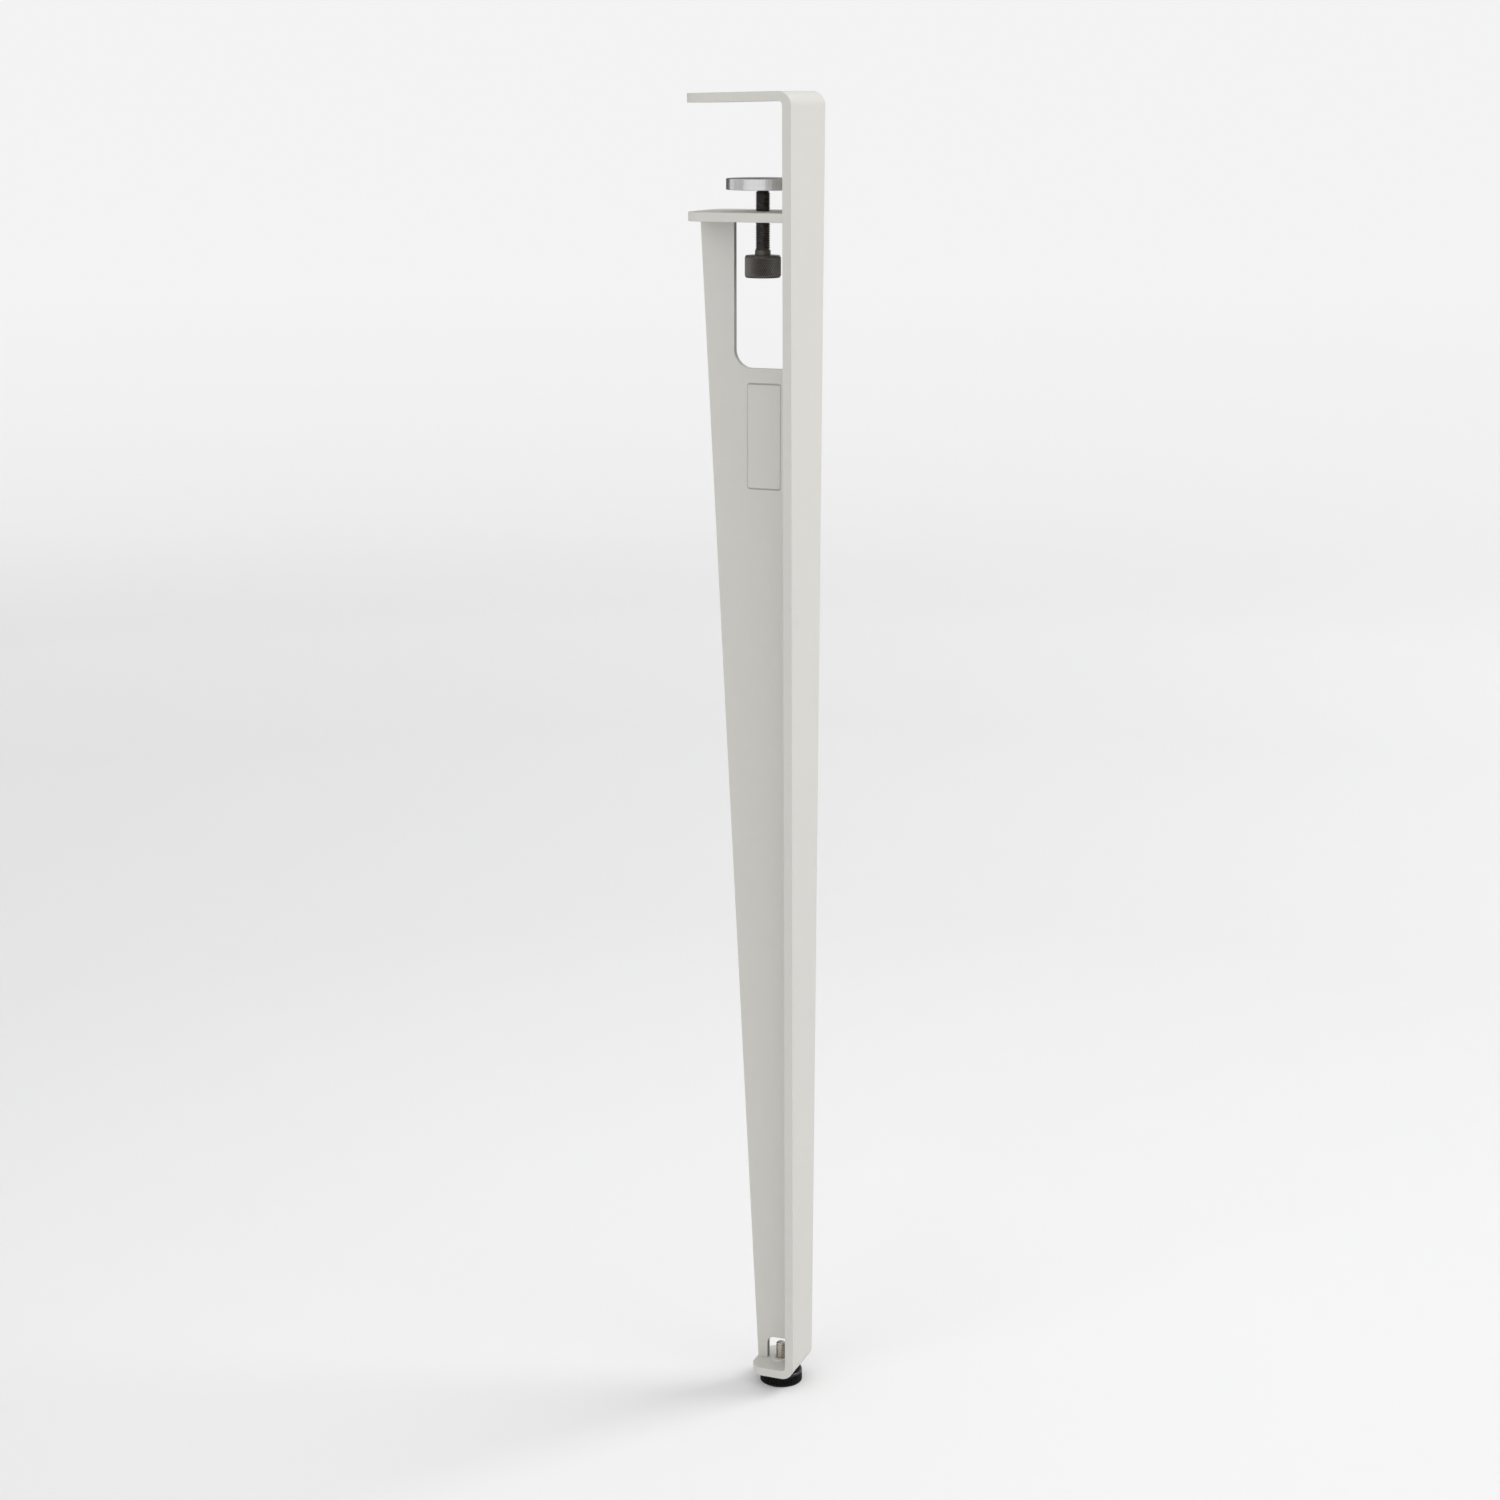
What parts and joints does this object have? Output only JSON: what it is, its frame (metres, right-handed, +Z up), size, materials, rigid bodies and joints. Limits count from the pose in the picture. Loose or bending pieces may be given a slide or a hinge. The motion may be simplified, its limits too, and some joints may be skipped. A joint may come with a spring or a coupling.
{
  "type": "clamp-on table leg",
  "caption": "Tapered folded-steel table leg with a screw clamp for a table top at its head and a height-adjustable round foot.",
  "frame": {"origin": "centre of the foot's underside, on the floor", "axes": "+Z up along the leg, +X out of the upright's outer face, away from the table, +Y across the strip"},
  "size_m": [0.0625, 0.054, 0.75],
  "materials": {
    "powder_coat_strip": "matt powder coat",
    "powder_coat_web": "matt powder coat",
    "powder_coat_jaw": "matt powder coat",
    "powder_coat_insert": "matt powder coat",
    "black_screw": "black oxide",
    "black_knob": "black oxide, diamond knurl",
    "turned_aluminium": "turned, bare",
    "spring_steel": "plain",
    "stainless_stud": "plain, threaded",
    "black_plastic": "moulded, semi-matt"
  },
  "bodies": {
    "leg": {"bent_strip": "powder_coat_strip", "web_plate": "powder_coat_web", "lower_jaw": "powder_coat_jaw", "foot_insert": "powder_coat_insert"},
    "pad": {"pressure_pad": "turned_aluminium", "retaining_ring": "spring_steel"},
    "screw": {"clamp_screw": "black_screw", "knurled_knob": "black_knob"},
    "stud": {"foot_stud": "stainless_stud"},
    "foot": {"foot_base": "black_plastic"}
  },
  "joints": [
    {"name": "pad_travel", "type": "slide", "parent": "leg", "child": "pad", "axis": [0, 0, 1], "range_m": [-0.0114, 0.0155]},
    {"name": "screw_turn", "type": "hinge", "parent": "pad", "child": "screw", "pos_m": [-0.0125, 0, 0.701], "axis": [0, 0, 1], "range_deg": [-3290, 4470]},
    {"name": "foot_height", "type": "slide", "parent": "leg", "child": "stud", "axis": [0, 0, 1], "range_m": [-0.009, 0.0005]},
    {"name": "foot_turn", "type": "hinge", "parent": "stud", "child": "foot", "pos_m": [0, 0, 0.003], "axis": [0, 0, 1], "range_deg": [-3245, 185]}
  ],
  "couplings": [
    {"joint": "screw_turn", "follows": "pad_travel", "rad_per_m": 5026.5},
    {"joint": "foot_turn", "follows": "foot_height", "rad_per_m": 6283.2}
  ]
}
